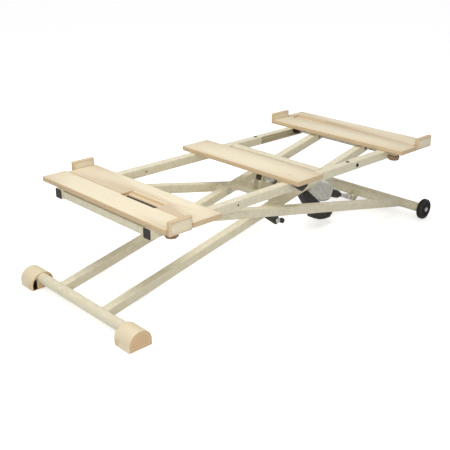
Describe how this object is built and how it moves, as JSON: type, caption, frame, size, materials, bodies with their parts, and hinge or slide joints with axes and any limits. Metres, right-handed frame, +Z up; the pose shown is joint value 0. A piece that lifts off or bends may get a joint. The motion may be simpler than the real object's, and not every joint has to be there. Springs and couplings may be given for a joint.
{
  "type": "scissor lift base",
  "caption": "Electric height-adjustable scissor base: crossed tube legs, top frame with sliding plywood boards and end stops, floor feet, rear wheels and a lift motor.",
  "frame": {"origin": "on the floor, under the middle of the base", "axes": "+X along the length from the feet to the wheels, +Y to the left side, +Z up"},
  "size_m": [1.69, 0.734, 0.4025],
  "materials": {
    "cream_paint": "satin powder coat",
    "foot_shoe": "satin moulded",
    "birch_plywood": "sanded, clear lacquer, open edges",
    "black_plastic": "moulded, fine texture",
    "wheel_rubber": "matt",
    "brown_knob": "satin",
    "zinc_steel": "zinc plated",
    "cast_aluminium": "cast, satin"
  },
  "bodies": {
    "feet": {"foot_left": "foot_shoe", "foot_right": "foot_shoe"},
    "inner_frame": {"foot_bar": "cream_paint", "inner_leg_left": "cream_paint", "inner_leg_right": "cream_paint", "shaft_bush_left": "cream_paint", "shaft_bush_right": "cream_paint", "roller_shaft": "zinc_steel", "scissor_bolt_left": "zinc_steel", "scissor_bolt_right": "zinc_steel", "scissor_spacer_left": "cream_paint", "scissor_spacer_right": "cream_paint", "lever_cross_tube": "cream_paint", "lever_cheek_left": "cream_paint", "lever_cheek_right": "cream_paint", "lever_pin": "zinc_steel"},
    "outer_frame": {"wheel_bar": "cream_paint", "outer_leg_left": "cream_paint", "outer_leg_right": "cream_paint", "pivot_tube": "cream_paint", "wheel_axle_left": "zinc_steel", "wheel_axle_right": "zinc_steel", "motor_cross_tube": "cream_paint", "motor_cheek_left": "cream_paint", "motor_cheek_right": "cream_paint", "motor_pin": "zinc_steel"},
    "top_frame": {"rail_left": "cream_paint", "rail_right": "cream_paint", "roller_channel_left": "cream_paint", "roller_channel_right": "cream_paint", "rail_cap_left": "black_plastic", "rail_cap_right": "black_plastic", "top_pivot_bolt_left": "zinc_steel", "top_pivot_bolt_right": "zinc_steel", "cross_tube_front": "cream_paint", "cross_tube_middle": "cream_paint", "cross_tube_rear": "cream_paint", "centre_board": "birch_plywood", "handset_hook": "black_plastic", "front_clamp_bracket": "cream_paint", "rear_clamp_bracket": "cream_paint"},
    "wheel_left": {"wheel_left": "wheel_rubber"},
    "wheel_right": {"wheel_right": "wheel_rubber"},
    "roller_left": {"roller_left": "black_plastic"},
    "roller_right": {"roller_right": "black_plastic"},
    "front_outer_slider": {"front_board_outer": "birch_plywood", "front_stop_outer": "birch_plywood"},
    "front_inner_slider": {"front_board_inner": "birch_plywood", "front_stop_inner": "birch_plywood"},
    "rear_inner_slider": {"rear_board_inner": "birch_plywood", "rear_stop_inner": "birch_plywood"},
    "rear_outer_slider": {"rear_board_outer": "birch_plywood", "rear_stop_outer": "birch_plywood"},
    "front_knob": {"front_clamp_knob": "brown_knob"},
    "rear_knob": {"rear_clamp_knob": "brown_knob"},
    "motor": {"motor_end_cap": "black_plastic", "gear_casing": "cast_aluminium", "motor_housing": "black_plastic", "spindle_tube": "cream_paint"},
    "rod": {"lift_rod": "zinc_steel"}
  },
  "joints": [
    {"name": "leg_lift", "type": "hinge", "parent": "feet", "child": "inner_frame", "pos_m": [-0.8, 0, 0.04], "axis": [0, -1, 0], "range_deg": [-3, 22]},
    {"name": "scissor_pivot", "type": "hinge", "parent": "inner_frame", "child": "outer_frame", "pos_m": [0, 0, 0.2145], "axis": [0, -1, 0], "range_deg": [-44.5, 6.5]},
    {"name": "top_pivot", "type": "hinge", "parent": "outer_frame", "child": "top_frame", "pos_m": [-0.574, 0, 0.33612], "axis": [0, -1, 0], "range_deg": [-3.5, 22.5]},
    {"name": "wheel_left_spin", "type": "hinge", "parent": "outer_frame", "child": "wheel_left", "pos_m": [0.8, 0.314, 0.045], "axis": [0, 1, 0], "continuous": true},
    {"name": "roller_left_spin", "type": "hinge", "parent": "inner_frame", "child": "roller_left", "pos_m": [0.574, 0.254, 0.3397], "axis": [0, 1, 0], "continuous": true},
    {"name": "wheel_right_spin", "type": "hinge", "parent": "outer_frame", "child": "wheel_right", "pos_m": [0.8, -0.314, 0.045], "axis": [0, 1, 0], "continuous": true},
    {"name": "roller_right_spin", "type": "hinge", "parent": "inner_frame", "child": "roller_right", "pos_m": [0.574, -0.254, 0.3397], "axis": [0, 1, 0], "continuous": true},
    {"name": "front_outer_slide", "type": "slide", "parent": "top_frame", "child": "front_outer_slider", "axis": [0, -1, 0], "range_m": [0, 0.08]},
    {"name": "front_inner_slide", "type": "slide", "parent": "top_frame", "child": "front_inner_slider", "axis": [0, 1, 0], "range_m": [0, 0.08]},
    {"name": "rear_inner_slide", "type": "slide", "parent": "top_frame", "child": "rear_inner_slider", "axis": [0, 1, 0], "range_m": [0, 0.08]},
    {"name": "rear_outer_slide", "type": "slide", "parent": "top_frame", "child": "rear_outer_slider", "axis": [0, -1, 0], "range_m": [0, 0.08]},
    {"name": "front_knob_turn", "type": "hinge", "parent": "top_frame", "child": "front_knob", "pos_m": [-0.64, -0.3, 0.3575], "axis": [0, 0, 1], "continuous": true},
    {"name": "rear_knob_turn", "type": "hinge", "parent": "top_frame", "child": "rear_knob", "pos_m": [0.55, -0.3, 0.3575], "axis": [0, 0, 1], "continuous": true},
    {"name": "motor_tilt", "type": "hinge", "parent": "outer_frame", "child": "motor", "pos_m": [0.68, 0, 0.047], "axis": [0, -1, 0], "range_deg": [-0.95, 0.15]},
    {"name": "rod_tilt", "type": "hinge", "parent": "inner_frame", "child": "rod", "pos_m": [0.074, 0, 0.285], "axis": [0, -1, 0], "range_deg": [-46, 7]}
  ],
  "couplings": [
    {"joint": "scissor_pivot", "follows": "leg_lift", "ratio": -2},
    {"joint": "top_pivot", "follows": "leg_lift", "ratio": 1},
    {"joint": "motor_tilt", "follows": "leg_lift", "ratio": -0.0412},
    {"joint": "rod_tilt", "follows": "leg_lift", "ratio": -2.0412}
  ]
}
